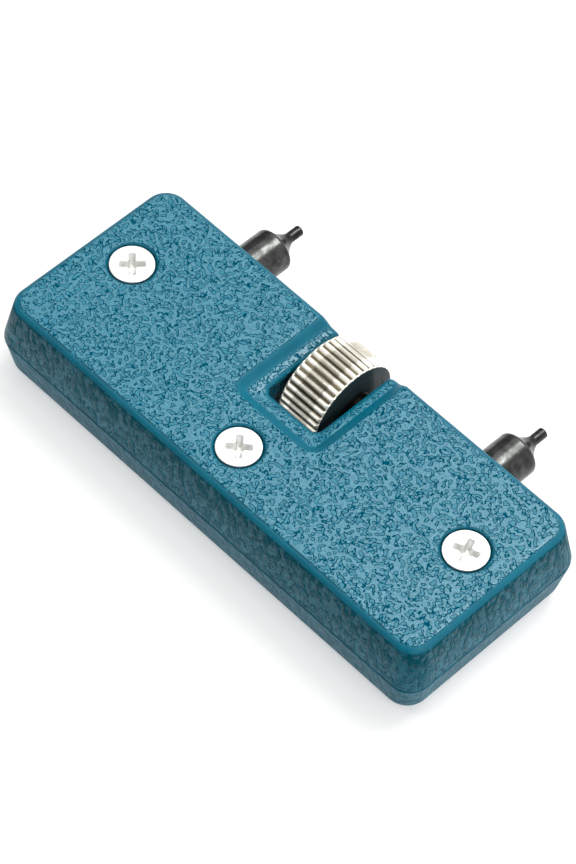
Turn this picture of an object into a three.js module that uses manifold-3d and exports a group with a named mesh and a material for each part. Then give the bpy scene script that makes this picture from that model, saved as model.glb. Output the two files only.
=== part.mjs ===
// Adjustable two-pin watch case-back opener.
// Millimetres, +Z up. The origin is the centre of the back face, X runs along the body and
// +Y is the long edge where the thumb wheel and the two jaws stand out.
// The wheel turns a lead screw with a right-hand thread on its +X half and a left-hand thread
// on its -X half, so the two jaws move together or apart.
import * as THREE from "three";
import { mergeVertices } from "three/addons/utils/BufferGeometryUtils.js";
import Module from "manifold-3d";

const wasm = await Module();
wasm.setup();

// Body: two moulded shells that meet at a parting plane.
const LENGTH = 68.5;
const WIDTH = 27.8;
const THICKNESS = 12.5;
const CORNER_RADIUS = 2.8;
const PARTING_Z = 6;
const PARTING_GAP = 0.1;
const DRAFT = 1;
const FRONT_FILLET = 0.85;
const BACK_FILLET = 1.8;
const WALL = 1.7;
const FLOOR_Z = 1.8;
const WEB = 1.5;
const RIB = 1.2;

// Mechanism axis, common to the wheel, the lead screw and the jaws.
const AXIS_Y = 8.7;
const AXIS_Z = 7.2;
const RUNNING_CLEARANCE = 0.08;
const GUIDE_CLEARANCE = 0.1;

// Thumb wheel, which runs a little to the left of the middle of its window.
const WHEEL_X = -0.4;
const WHEEL_RADIUS = 6.4;
const WHEEL_WIDTH = 6.26;
const WHEEL_CHAMFER = 0.4;
const RIDGES = 40;
const RIDGE_DEPTH = 0.34;
const HUB_RADIUS = 2.5;
const HUB_HEIGHT = 0.12;

// Recess and window round the wheel.
const RECESS_HALF_X = 7;
const RECESS_NEAR_Y = -2.4;
const RECESS_DEPTH = 0.95;
const RECESS_RUN = 1.5;
const WINDOW_HALF_X = 4.15;
const WINDOW_NEAR_Y = 1;
const BACK_WINDOW_NEAR_Y = 3.6;
const WINDOW_CORNER = 1;

// Lead screw, thrust washers and end bushes.
const SCREW_RADIUS = 2;
const SEAT_RADIUS = 2.05;
const JOURNAL_RADIUS = 1.5;
const END_WEB_X = 26.2;
const BUSH_RADIUS = 2.1;
const BUSH_LENGTH = 1.8;
const WASHER_RADIUS = 2.5;
const WASHER_CLEARANCE = 0.1;

// Jaws, at their place with the tips 40.2 apart.
const JAW_RADIUS = 2.8;
const JAW_X = 20.1;
const JAWS_MIDDLE_X = -0.25;
const JAW_INNERMOST_X = 9;
const JAW_OUTERMOST_X = 21.35;
const JAW_TAIL_Y = 5.4;
const JAW_FACE_Y = 18.6;
const SHOULDER_ROUNDING = 0.55;
const TAIL_CHAMFER = 0.4;
const TIP_FOOT_RADIUS = 2.25;
const TIP_RADIUS = 0.68;
const TIP_NECK_Y = 20.9;
const TIP_END_Y = 22.6;
const TIP_SHANK_RADIUS = 1.2;
const TIP_SHANK_LENGTH = 3.6;

// Shell screws (M3 countersunk) and their threaded inserts.
const SIDE_SCREW_X = 27.2;
const SIDE_SCREW_Y = 1.56;
const MIDDLE_SCREW_Y = -7.27;
const HEAD_RADIUS = 2.72;
const HEAD_RIM = 0.25;
const HEAD_RING = 0.25;
const HEAD_SUNK = 0.05;
const THREAD_RADIUS = 1.5;
const SHELL_SCREW_LENGTH = 10;
const CROSS_SPAN = 3.2;
const CROSS_WIDTH = 0.8;
const CROSS_DEPTH = 1.3;
const BOSS_RADIUS = 3.4;
const INSERT_RADIUS = 2.3;
const INSERT_LENGTH = 3.5;
const INSERT_TOP_GAP = 0.1;

const ROUND = 32;
const FINE_ROUND = 24;
const BEYOND = 3;

const TEAL = new THREE.MeshStandardMaterial({ color: 0x3f87a3, roughness: 0.45 });
const NICKEL = new THREE.MeshStandardMaterial({ color: 0xc9cacb, roughness: 0.2, metalness: 1 });
const ZINC = new THREE.MeshStandardMaterial({ color: 0xb9bab8, roughness: 0.35, metalness: 1 });
const STEEL = new THREE.MeshStandardMaterial({ color: 0x9a9c9e, roughness: 0.3, metalness: 1 });
const BRASS = new THREE.MeshStandardMaterial({ color: 0xc2a14a, roughness: 0.35, metalness: 1 });
const BLACK_STEEL = new THREE.MeshStandardMaterial({
  color: 0x1c1d20,
  roughness: 0.35,
  metalness: 0.9,
});

// Solids ------------------------------------------------------------------------------------

function solid(geometry) {
  const bare = geometry.index ? geometry.toNonIndexed() : geometry;
  bare.deleteAttribute("normal");
  bare.deleteAttribute("uv");
  const merged = mergeVertices(bare, 1e-4);
  return new wasm.Manifold(
    new wasm.Mesh({
      numProp: 3,
      vertProperties: merged.attributes.position.array,
      triVerts: new Uint32Array(merged.index.array),
    }),
  );
}

function join(...pieces) {
  return pieces.reduce((sum, piece) => sum.add(piece));
}

function cut(base, ...tools) {
  return tools.reduce((rest, tool) => rest.subtract(tool), base);
}

function named(name, shape, material) {
  const made = shape.getMesh();
  const geometry = new THREE.BufferGeometry();
  geometry.setAttribute("position", new THREE.BufferAttribute(made.vertProperties, 3));
  geometry.setIndex(new THREE.BufferAttribute(made.triVerts, 1));
  geometry.computeVertexNormals();
  const mesh = new THREE.Mesh(geometry, material);
  mesh.name = name;
  return mesh;
}

function box(x0, x1, y0, y1, z0, z1) {
  const geometry = new THREE.BoxGeometry(x1 - x0, y1 - y0, z1 - z0);
  return solid(geometry.translate((x0 + x1) / 2, (y0 + y1) / 2, (z0 + z1) / 2));
}

// The same box on both sides of the X = 0 plane.
function boxPair(x0, x1, y0, y1, z0, z1) {
  return join(box(x0, x1, y0, y1, z0, z1), box(-x1, -x0, y0, y1, z0, z1));
}

function uprightCylinder(radius, x, y, z0, z1, segments = FINE_ROUND) {
  const geometry = new THREE.CylinderGeometry(radius, radius, z1 - z0, segments);
  return solid(geometry.rotateX(Math.PI / 2).translate(x, y, (z0 + z1) / 2));
}

// A round bar along X, on the mechanism axis.
function barAlongX(radius, x0, x1) {
  const geometry = new THREE.CylinderGeometry(radius, radius, x1 - x0, ROUND);
  return solid(geometry.rotateZ(Math.PI / 2).translate((x0 + x1) / 2, AXIS_Y, AXIS_Z));
}

// Turns a profile of [radius, height] points about the Y axis.
function turned(profile, segments = ROUND) {
  const points = profile.map(([radius, height]) => new THREE.Vector2(radius, height));
  return new THREE.LatheGeometry(points, segments);
}

// A turned piece whose height runs along +X, on the mechanism axis.
function turnedAlongX(profile, segments = ROUND) {
  return solid(turned(profile, segments).rotateZ(-Math.PI / 2).translate(0, AXIS_Y, AXIS_Z));
}

function roundedRectangle(x0, x1, y0, y1, radius) {
  const shape = new THREE.Shape();
  shape.absarc(x1 - radius, y0 + radius, radius, -Math.PI / 2, 0);
  shape.absarc(x1 - radius, y1 - radius, radius, 0, Math.PI / 2);
  shape.absarc(x0 + radius, y1 - radius, radius, Math.PI / 2, Math.PI);
  shape.absarc(x0 + radius, y0 + radius, radius, Math.PI, (3 * Math.PI) / 2);
  shape.closePath();
  return shape;
}

function prism(shape, z0, z1, curveSegments = 5) {
  const settings = { depth: z1 - z0, bevelEnabled: false, curveSegments };
  return solid(new THREE.ExtrudeGeometry(shape, settings).translate(0, 0, z0));
}

// The body's outline extruded from z0 to z1, with both ends rounded over and the sides
// leaning in by DRAFT from the parting plane to the face at draftTo.
function slab(z0, z1, fillet, draftTo) {
  const halfX = LENGTH / 2;
  const halfY = WIDTH / 2;
  const geometry = new THREE.ExtrudeGeometry(
    roundedRectangle(-halfX, halfX, -halfY, halfY, CORNER_RADIUS),
    {
      depth: z1 - z0 - 2 * fillet,
      bevelThickness: fillet,
      bevelSize: fillet,
      bevelOffset: -fillet,
      bevelSegments: 4,
      curveSegments: 6,
    },
  );
  geometry.translate(0, 0, z0 + fillet);
  const place = geometry.attributes.position;
  for (let i = 0; i < place.count; i++) {
    const lean = (DRAFT * (place.getZ(i) - PARTING_Z)) / (draftTo - PARTING_Z);
    place.setX(i, place.getX(i) - Math.sign(place.getX(i)) * lean);
    place.setY(i, place.getY(i) - Math.sign(place.getY(i)) * lean);
  }
  return solid(geometry);
}

// The space inside the side walls.
function cavity(z0, z1) {
  const halfX = LENGTH / 2 - DRAFT - WALL;
  const halfY = WIDTH / 2 - DRAFT - WALL;
  return prism(roundedRectangle(-halfX, halfX, -halfY, halfY, CORNER_RADIUS - WALL), z0, z1, 3);
}

const INNER_Y = WIDTH / 2 - DRAFT - WALL;
const CEILING_Z = AXIS_Z + JAW_RADIUS + GUIDE_CLEARANCE;
const RAIL_Z = AXIS_Z - JAW_RADIUS - GUIDE_CLEARANCE;
const BAY_Y = JAW_TAIL_Y - 0.7;
const SLOT_INNER_X = JAW_INNERMOST_X - JAW_RADIUS - GUIDE_CLEARANCE;
const SLOT_OUTER_X = JAW_OUTERMOST_X + JAW_RADIUS + GUIDE_CLEARANCE;
const WEB_END_X = WINDOW_HALF_X + WEB;

// Side, place, and how far in degrees each screw's cross is turned from the X axis.
const BOSS_PLACES = [
  ["left", -SIDE_SCREW_X, SIDE_SCREW_Y, 48],
  ["middle", 0, MIDDLE_SCREW_Y, 42],
  ["right", SIDE_SCREW_X, SIDE_SCREW_Y, 20],
];

// Shells ------------------------------------------------------------------------------------

function bosses(z0, z1) {
  return join(...BOSS_PLACES.map(([, x, y]) => uprightCylinder(BOSS_RADIUS, x, y, z0, z1)));
}

// Walls that both shells share: behind the jaw bay, behind the wheel, beside the end bushes,
// and ribs that tie the middle boss and the side bosses to the outer walls.
function innerWalls(z0, z1) {
  return join(
    boxPair(WEB_END_X - 0.1, SIDE_SCREW_X - 2, BAY_Y - RIB, BAY_Y, z0, z1),
    box(-WEB_END_X, WEB_END_X, WINDOW_NEAR_Y - RIB, WINDOW_NEAR_Y, z0, z1),
    boxPair(WINDOW_HALF_X, WEB_END_X, WINDOW_NEAR_Y - RIB, BAY_Y, z0, z1),
    box(-RIB / 2, RIB / 2, -INNER_Y - 0.1, MIDDLE_SCREW_Y, z0, z1),
    boxPair(SIDE_SCREW_X, LENGTH / 2 - DRAFT - WALL + 0.1, SIDE_SCREW_Y - RIB / 2,
      SIDE_SCREW_Y + RIB / 2, z0, z1),
  );
}

// Bearing webs beside the wheel and at the ends of the lead screw.
function bearingWebs(nearY, farY, z0, z1) {
  return join(
    boxPair(WINDOW_HALF_X, WEB_END_X, nearY, farY, z0, z1),
    boxPair(END_WEB_X, END_WEB_X + BUSH_LENGTH, nearY, farY, z0, z1),
  );
}

// What the lead screw and its end bushes need, cut out of the webs.
function screwSpace() {
  return join(
    barAlongX(SCREW_RADIUS + RUNNING_CLEARANCE, -END_WEB_X, END_WEB_X),
    barAlongX(BUSH_RADIUS + 0.05, END_WEB_X - 0.1, END_WEB_X + BUSH_LENGTH + 1),
    barAlongX(BUSH_RADIUS + 0.05, -END_WEB_X - BUSH_LENGTH - 1, -END_WEB_X + 0.1),
  );
}

function window(nearY, z0, z1) {
  const shape = roundedRectangle(
    -WINDOW_HALF_X, WINDOW_HALF_X, nearY, WIDTH / 2 + BEYOND, WINDOW_CORNER,
  );
  return prism(shape, z0, z1, 3);
}

// A shallow dish round the wheel, open at the +Y edge.
function wheelRecess() {
  const shape = roundedRectangle(
    RECESS_RUN - RECESS_HALF_X,
    RECESS_HALF_X - RECESS_RUN,
    RECESS_NEAR_Y + RECESS_RUN,
    WIDTH / 2 + BEYOND,
    WINDOW_CORNER,
  );
  const geometry = new THREE.ExtrudeGeometry(shape, {
    depth: BEYOND,
    bevelThickness: RECESS_DEPTH,
    bevelSize: RECESS_RUN,
    bevelSegments: 3,
    curveSegments: 3,
  });
  return solid(geometry.translate(0, 0, THICKNESS));
}

function countersunkHole(x, y) {
  const mouth = HEAD_RADIUS + HEAD_RING;
  const hole = THREAD_RADIUS + 0.15;
  const geometry = turned(
    [
      [0, PARTING_Z - 1],
      [hole, PARTING_Z - 1],
      [hole, THICKNESS - HEAD_RIM - mouth + hole],
      [mouth, THICKNESS - HEAD_RIM],
      [mouth, THICKNESS + 1],
      [0, THICKNESS + 1],
    ],
    FINE_ROUND,
  );
  return solid(geometry.rotateX(Math.PI / 2).translate(x, y, 0));
}

function jawSlots(z0, z1) {
  return boxPair(SLOT_INNER_X, SLOT_OUTER_X, INNER_Y - 0.5, WIDTH / 2 + BEYOND, z0, z1);
}

function frontShell() {
  const bottom = PARTING_Z + PARTING_GAP / 2;
  const outside = slab(0, THICKNESS, FRONT_FILLET, THICKNESS);
  const lining = join(
    bosses(bottom, CEILING_Z + 0.1),
    innerWalls(bottom, CEILING_Z + 0.1),
    bearingWebs(BAY_Y - 0.1, INNER_Y + 0.1, AXIS_Z + PARTING_GAP / 2, CEILING_Z + 0.1),
  );
  const shell = join(cut(outside, cavity(-1, CEILING_Z)), lining);
  return cut(
    shell,
    box(-LENGTH, LENGTH, -WIDTH, WIDTH, -1, bottom),
    wheelRecess(),
    window(WINDOW_NEAR_Y, 0, THICKNESS + 1),
    screwSpace(),
    jawSlots(0, CEILING_Z),
    ...BOSS_PLACES.map(([, x, y]) => countersunkHole(x, y)),
  );
}

function backShell() {
  const top = PARTING_Z - PARTING_GAP / 2;
  const outside = cut(
    slab(0, THICKNESS, BACK_FILLET, 0),
    box(-LENGTH, LENGTH, -WIDTH, WIDTH, top, THICKNESS + 1),
  );
  const lining = join(
    bosses(FLOOR_Z - 0.1, top),
    innerWalls(FLOOR_Z - 0.1, top),
    boxPair(WEB_END_X - 0.1, END_WEB_X + 0.1, BAY_Y - 0.1, BAY_Y + 1.6, FLOOR_Z - 0.1, RAIL_Z),
    bearingWebs(BAY_Y - 0.1, INNER_Y + 0.1, FLOOR_Z - 0.1, top),
    bearingWebs(JAW_TAIL_Y - 0.15, INNER_Y - 0.1, top - 0.1, AXIS_Z - PARTING_GAP / 2),
  );
  const shell = join(cut(outside, cavity(FLOOR_Z, THICKNESS)), lining);
  const insertFloor = top - INSERT_TOP_GAP - INSERT_LENGTH - 0.05;
  return cut(
    shell,
    window(BACK_WINDOW_NEAR_Y, -1, THICKNESS),
    screwSpace(),
    jawSlots(RAIL_Z, THICKNESS),
    ...BOSS_PLACES.map(([, x, y]) =>
      uprightCylinder(INSERT_RADIUS + 0.05, x, y, insertFloor, THICKNESS),
    ),
  );
}

// Shell fasteners ---------------------------------------------------------------------------

// One arm of the cross, turned by an angle in degrees.
function crossArm(x, y, top, degrees) {
  const geometry = new THREE.BoxGeometry(CROSS_SPAN, CROSS_WIDTH, CROSS_DEPTH + 1);
  geometry.rotateZ(THREE.MathUtils.degToRad(degrees));
  return solid(geometry.translate(x, y, top + (1 - CROSS_DEPTH) / 2));
}

function shellScrew(x, y, crossTurn) {
  const top = THICKNESS - HEAD_SUNK;
  const cone = HEAD_RADIUS - THREAD_RADIUS;
  const body = turned(
    [
      [0, top - SHELL_SCREW_LENGTH],
      [THREAD_RADIUS - 0.4, top - SHELL_SCREW_LENGTH],
      [THREAD_RADIUS, top - SHELL_SCREW_LENGTH + 0.4],
      [THREAD_RADIUS, top - HEAD_RIM - cone],
      [HEAD_RADIUS, top - HEAD_RIM],
      [HEAD_RADIUS, top],
      [0, top],
    ],
    FINE_ROUND,
  );
  return cut(
    solid(body.rotateX(Math.PI / 2).translate(x, y, 0)),
    crossArm(x, y, top, crossTurn),
    crossArm(x, y, top, crossTurn + 90),
  );
}

function insert(x, y) {
  const top = PARTING_Z - PARTING_GAP / 2 - INSERT_TOP_GAP;
  const bore = THREAD_RADIUS + 0.05;
  return cut(
    uprightCylinder(INSERT_RADIUS, x, y, top - INSERT_LENGTH, top),
    uprightCylinder(bore, x, y, 0, THICKNESS),
  );
}

// Wheel and lead screw ----------------------------------------------------------------------

// The rim has straight ridges: each is a flat crest and a flat valley joined by two flanks.
function ridgedOutline() {
  const shape = new THREE.Shape();
  const valley = WHEEL_RADIUS - RIDGE_DEPTH;
  const pitch = (2 * Math.PI) / RIDGES;
  const corners = [
    [-0.2, WHEEL_RADIUS],
    [0.2, WHEEL_RADIUS],
    [0.38, valley],
    [0.62, valley],
  ];
  for (let ridge = 0; ridge < RIDGES; ridge++) {
    for (const [part, radius] of corners) {
      const angle = (ridge + part) * pitch;
      const at = [radius * Math.cos(angle), radius * Math.sin(angle)];
      if (ridge === 0 && part < 0) shape.moveTo(...at);
      else shape.lineTo(...at);
    }
  }
  shape.closePath();
  return shape;
}

function thumbWheel() {
  const half = WHEEL_WIDTH / 2;
  const settings = { depth: WHEEL_WIDTH + 2, bevelEnabled: false };
  const ridges = new THREE.ExtrudeGeometry(ridgedOutline(), settings);
  ridges.translate(0, 0, -half - 1);
  ridges.rotateY(Math.PI / 2);
  ridges.translate(WHEEL_X, AXIS_Y, AXIS_Z);
  const left = WHEEL_X - half;
  const right = WHEEL_X + half;
  const edge = WHEEL_RADIUS - WHEEL_CHAMFER;
  const disc = turnedAlongX(
    [
      [0, left],
      [edge, left],
      [edge + 0.5, left + 0.5],
      [edge + 0.5, right - 0.5],
      [edge, right],
      [0, right],
    ],
    2 * RIDGES,
  );
  const hub = barAlongX(HUB_RADIUS, left - HUB_HEIGHT, right + HUB_HEIGHT);
  return cut(
    join(solid(ridges).intersect(disc), hub),
    barAlongX(SEAT_RADIUS + 0.02, left - 1, right + 1),
  );
}

function leadScrew() {
  const seatLeft = WHEEL_X - WHEEL_WIDTH / 2;
  const seatRight = WHEEL_X + WHEEL_WIDTH / 2;
  const thread = END_WEB_X - 0.1;
  const end = END_WEB_X + BUSH_LENGTH + 0.2;
  return turnedAlongX([
    [0, -end],
    [JOURNAL_RADIUS, -end],
    [JOURNAL_RADIUS, -thread],
    [SCREW_RADIUS, -thread],
    [SCREW_RADIUS, seatLeft],
    [SEAT_RADIUS, seatLeft],
    [SEAT_RADIUS, seatRight],
    [SCREW_RADIUS, seatRight],
    [SCREW_RADIUS, thread],
    [JOURNAL_RADIUS, thread],
    [JOURNAL_RADIUS, end],
    [0, end],
  ]);
}

function ringAlongX(outer, bore, x0, x1) {
  return cut(barAlongX(outer, x0, x1), barAlongX(bore, x0 - 1, x1 + 1));
}

// Each washer fills the gap from the hub to the window's wall, which is wider on the right.
function thrustWasher(side) {
  const near = side * WHEEL_X + WHEEL_WIDTH / 2 + HUB_HEIGHT + WASHER_CLEARANCE;
  const far = WINDOW_HALF_X - WASHER_CLEARANCE;
  return ringAlongX(
    WASHER_RADIUS,
    SCREW_RADIUS + RUNNING_CLEARANCE,
    Math.min(side * near, side * far),
    Math.max(side * near, side * far),
  );
}

function endBush(side) {
  const middle = side * (END_WEB_X + BUSH_LENGTH / 2);
  return ringAlongX(
    BUSH_RADIUS,
    JOURNAL_RADIUS + RUNNING_CLEARANCE,
    middle - BUSH_LENGTH / 2,
    middle + BUSH_LENGTH / 2,
  );
}

// Jaws --------------------------------------------------------------------------------------

// A round steel stud, cross-drilled for the lead screw, with a socket for its tip.
function jaw(x) {
  const profile = [
    [0, JAW_TAIL_Y],
    [JAW_RADIUS - TAIL_CHAMFER, JAW_TAIL_Y],
    [JAW_RADIUS, JAW_TAIL_Y + TAIL_CHAMFER],
  ];
  for (let step = 0; step <= 4; step++) {
    const angle = (step * Math.PI) / 8;
    profile.push([
      JAW_RADIUS - SHOULDER_ROUNDING * (1 - Math.cos(angle)),
      JAW_FACE_Y - SHOULDER_ROUNDING * (1 - Math.sin(angle)),
    ]);
  }
  profile.push([0, JAW_FACE_Y]);
  const socket = turned([
    [0, JAW_FACE_Y - TIP_SHANK_LENGTH - 0.1],
    [TIP_SHANK_RADIUS + 0.05, JAW_FACE_Y - TIP_SHANK_LENGTH - 0.1],
    [TIP_SHANK_RADIUS + 0.05, JAW_FACE_Y + 1],
    [0, JAW_FACE_Y + 1],
  ]);
  return cut(
    solid(turned(profile).translate(x, 0, AXIS_Z)),
    solid(socket.translate(x, 0, AXIS_Z)),
    barAlongX(SCREW_RADIUS + RUNNING_CLEARANCE, x - 5, x + 5),
  );
}

// A hardened tip: a shank, a foot, a hollow cone and a thin round nose.
function jawTip(x) {
  const foot = JAW_FACE_Y + 0.05;
  const profile = [
    [0, JAW_FACE_Y - TIP_SHANK_LENGTH],
    [TIP_SHANK_RADIUS, JAW_FACE_Y - TIP_SHANK_LENGTH],
    [TIP_SHANK_RADIUS, foot],
  ];
  for (let step = 0; step <= 5; step++) {
    const part = step / 5;
    profile.push([
      TIP_RADIUS + (TIP_FOOT_RADIUS - TIP_RADIUS) * (1 - part) ** 1.6,
      foot + (TIP_NECK_Y - foot) * part,
    ]);
  }
  profile.push(
    [TIP_RADIUS, TIP_END_Y - 0.15],
    [TIP_RADIUS - 0.15, TIP_END_Y],
    [0, TIP_END_Y],
  );
  return solid(turned(profile, FINE_ROUND).translate(x, 0, AXIS_Z));
}

// Assembly ----------------------------------------------------------------------------------

const opener = new THREE.Group();
opener.add(named("front_shell", frontShell(), TEAL));
opener.add(named("back_shell", backShell(), TEAL));
for (const [side, x, y, crossTurn] of BOSS_PLACES) {
  opener.add(named(`${side}_screw`, shellScrew(x, y, crossTurn), ZINC));
  opener.add(named(`${side}_insert`, insert(x, y), BRASS));
}
opener.add(named("thumb_wheel", thumbWheel(), NICKEL));
opener.add(named("lead_screw", leadScrew(), STEEL));
for (const [side, sign] of [["left", -1], ["right", 1]]) {
  opener.add(named(`${side}_thrust_washer`, thrustWasher(sign), STEEL));
  opener.add(named(`${side}_end_bush`, endBush(sign), BRASS));
  const jawX = JAWS_MIDDLE_X + sign * JAW_X;
  opener.add(named(`${side}_jaw`, jaw(jawX), BLACK_STEEL));
  opener.add(named(`${side}_tip`, jawTip(jawX), BLACK_STEEL));
}

export default opener;
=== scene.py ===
"""Looks of the adjustable watch case-back opener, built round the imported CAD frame.

Shapes are worked out in millimetres in the row frame (X along the body, +Y towards the jaws, Z out of
the front face) and written to Blender in metres.
"""

import math

import bmesh
import bpy
import numpy as np
from mathutils import Matrix, Vector


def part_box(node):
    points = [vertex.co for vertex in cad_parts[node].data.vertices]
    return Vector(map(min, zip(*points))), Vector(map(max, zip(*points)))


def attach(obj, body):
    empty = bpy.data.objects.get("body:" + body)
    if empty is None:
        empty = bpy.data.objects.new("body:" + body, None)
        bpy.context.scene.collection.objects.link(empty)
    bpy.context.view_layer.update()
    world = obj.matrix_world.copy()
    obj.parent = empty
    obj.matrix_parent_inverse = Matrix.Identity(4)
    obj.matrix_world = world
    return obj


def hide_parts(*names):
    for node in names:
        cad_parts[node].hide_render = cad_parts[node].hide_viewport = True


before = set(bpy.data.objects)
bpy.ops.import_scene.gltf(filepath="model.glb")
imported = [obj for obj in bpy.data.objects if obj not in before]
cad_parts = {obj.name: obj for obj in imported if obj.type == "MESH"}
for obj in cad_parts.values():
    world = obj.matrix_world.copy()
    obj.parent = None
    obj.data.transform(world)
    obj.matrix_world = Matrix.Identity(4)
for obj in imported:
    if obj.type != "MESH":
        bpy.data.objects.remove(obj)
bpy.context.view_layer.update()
MM = 0.001


def box_mm(node):
    low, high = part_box(node)
    return np.array(low) / MM, np.array(high) / MM


# Sizes that the frame gives.
BODY_LOW, BODY_HIGH = box_mm("front_shell")
LENGTH = BODY_HIGH[0] - BODY_LOW[0]
WIDTH = BODY_HIGH[1] - BODY_LOW[1]
THICKNESS = BODY_HIGH[2]
WHEEL_LOW, WHEEL_HIGH = box_mm("thumb_wheel")
WHEEL_X, AXIS_Y, AXIS_Z = (WHEEL_LOW + WHEEL_HIGH) / 2
WHEEL_RADIUS = (WHEEL_HIGH[2] - WHEEL_LOW[2]) / 2

# Shells, as in the CAD model.
PARTING_GAP = 0.1
PARTING_Z = BODY_LOW[2] - PARTING_GAP / 2
CORNER_RADIUS = 2.8
DRAFT = 1.0
FRONT_FILLET = 0.85
BACK_FILLET = 1.8
WALL = 1.7
FLOOR_Z = 1.8
WEB = 1.5
RIB = 1.2
JAW_RADIUS = 2.8
GUIDE_CLEARANCE = 0.1
CEILING_Z = AXIS_Z + JAW_RADIUS + GUIDE_CLEARANCE
RAIL_Z = AXIS_Z - JAW_RADIUS - GUIDE_CLEARANCE
INNER_X = LENGTH / 2 - DRAFT - WALL
INNER_Y = WIDTH / 2 - DRAFT - WALL
BAY_Y = 4.7
SLOT_INNER_X = 6.1
SLOT_OUTER_X = 24.25
RECESS_HALF_X = 7.0
RECESS_NEAR_Y = -2.4
RECESS_DEPTH = 0.95
WINDOW_HALF_X = 4.15
WINDOW_NEAR_Y = 1.0
BACK_WINDOW_NEAR_Y = 3.6
WINDOW_CORNER = 1.0
WEB_END_X = WINDOW_HALF_X + WEB
END_WEB_X = 26.2
BUSH_LENGTH = 1.8
BUSH_RADIUS = 2.1
SCREW_RADIUS = 2.0
SCREW_SEAT = 2.08
SLIP_FIT = 0.05
BOSS_RADIUS = 3.4
HEAD_RIM = 0.25
HEAD_RING = 0.25
SHANK_HOLE = 1.65
INSERT_HOLE = 2.35
INSERT_FLOOR = 2.3
RAIL_WIDTH = 1.6
HIGH_WEB_SETBACK = 0.55

# Shells, the looks alone: the dish's corners and slope, and how far the edges are rounded over.
RECESS_CORNER = 2.2
RECESS_RUN = 1.6
DISH_SLOPE = 0.17
WINDOW_ROUND = 0.5
WALL_ROUND = 0.2
RIB_FILLET = 0.3
SEAM_ROUND = 0.16
SEAT_ROUND = 0.1
SLOT_ROUND = 0.3
SINK_ROUND = 0.12

# How far pieces that are joined run into each other, and slots run past the wall they open.
OVERLAP = 0.1
SLOT_OVERCUT = 0.5

# Shells: grid of the surface, and share of its points that is kept.
SHELL_CELL = 0.21
SHELL_POINTS_KEPT = 0.3

SIDES = ("left", "right")
SHELL_SCREWS = ("left_screw", "middle_screw", "right_screw")

# Wheel, as in the CAD model.
WHEEL_WIDTH = 6.26
WHEEL_CHAMFER = 0.4
RIDGES = 40
RIDGE_DEPTH = 0.34
CREST_SHARE = 0.08
FLANK_SHARE = 0.34
HUB_RADIUS = 2.5

# Wheel, the looks alone: small edge breaks, and a shallow groove turned in each side face.
HUB_BORE = 2.07
HUB_BREAK = 0.05
FACE_BREAK = 0.02
RIM_BREAK = 0.05
RIM_STEPS = 5
RIM_PLACES = (-1.5, 0, 1.5)
FACE_GROOVE = (4.6, 4.85)
FACE_GROOVE_DEPTH = 0.04
FACE_GROOVE_SIDE = 0.05
WHEEL_CREASE = math.radians(38)

# Shell screws. The cross gets narrower as it goes deeper, by its tapers.
THREAD_RADIUS = 1.5
THREAD_PITCH = 0.5
END_CHAMFER = 0.4
END_ROUND = 0.1
SHANK_TOP = 1.0
HEAD_ROUND = 0.09
CONE_ROUND = 0.06
CROSS_SPAN = 3.2
CROSS_WIDTH = 0.8
CROSS_DEPTH = 1.3
CROSS_MIDDLE = 0.75
SPAN_TAPER = 0.55
WIDTH_TAPER = 0.1
MIDDLE_TAPER = 0.35
ARM_ROUND = 0.12
ARM_FILLET = 0.22
MIDDLE_FILLET = 0.1
CROSS_FLOOR_ROUND = 0.2
CROSS_EDGE_ROUND = 0.07
SCREW_CELL = 0.065

# Degrees by which each cross is turned from the body's long axis.
CROSS_TURN = {"left_screw": 48, "middle_screw": 42, "right_screw": 20}

# Threads: depth as a share of the pitch, the flats on crest and root, and what keeps their field no
# steeper than a distance.
THREAD_DEPTH = 0.61
FLANK_RISE = 1.25
CREST_FLAT = 0.1
FLANK_SLOPE = 0.6

# Lead screw.
LEAD_PITCH = 0.7
SEAT_RADIUS = 2.05
SEAT_EDGE_ROUND = 0.03
THREAD_END_GAP = 0.1
JOURNAL_RADIUS = 1.5
JOURNAL_ROUND = 0.25
LEAD_CELL = 0.1

# Jaws and tips.
SHOULDER_ROUNDING = 0.55
TAIL_CHAMFER = 0.4
TIP_SHANK_RADIUS = 1.2
TIP_SHANK_LENGTH = 3.6
TIP_FOOT_RADIUS = 2.25
TIP_RADIUS = 0.68
TIP_NECK_LENGTH = 2.25
CONE_HOLLOW = 1.6
CROSS_HOLE_ROUND = 0.15
SOCKET_ROUND = 0.05
SOCKET_GAP = 0.1
NOSE_ROUND = 0.16
FOOT_ROUND = 0.04
TIP_SHANK_ROUND = 0.15
SHANK_OVERLAP = 0.5
JAW_CELL = 0.11
TIP_CELL = 0.07

# Washers, bushes and inserts.
BUSH_CLEARANCE = 0.08
RING_ROUND = 0.1
RING_CELL = 0.07
KNURLS = 24
KNURL_DEPTH = 0.06
GROOVE_DEPTH = 0.25
GROOVE_WIDTH = 0.35
INSERT_ROUND = 0.12
INSERT_CELL = 0.1


# Camera, floor and light, in metres --------------------------------------------------------------

VIEW_AZIMUTH = math.radians(42.58)
VIEW_ELEVATION = math.radians(54.81)
VIEW_ROLL = math.radians(3.86)
VIEW_TARGET = Vector((-0.62, 1.43, 6.25)) * MM
VIEW_DISTANCE = 418.7 * MM
VIEW_LENS = 151.46
VIEW_SENSOR = 36

BRIGHT_WAY = (0.3, 0.84, 0.45)
SKY_DIM = 0.1
SKY_BRIGHT = 0.9
DIM_UP_TO = -0.2
BRIGHT_FROM = 0.9

FLOOR_GLOW = 0.45
FLOOR_SIZE = 3.0
FLOOR_DROP = 0.05 * MM

# Square panels that face the origin: place, size and watts.
LIGHTS = {
    "overhead": ((-0.1, 0.35, 0.8), 0.9, 2),
    "key": ((0.03, 0.32, 0.67), 0.33, 3),
    "front": ((-0.31, -0.33, 0.66), 0.35, 1.6),
    "right": ((0.5, -0.1, 0.5), 0.3, 1.5),
}


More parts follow.
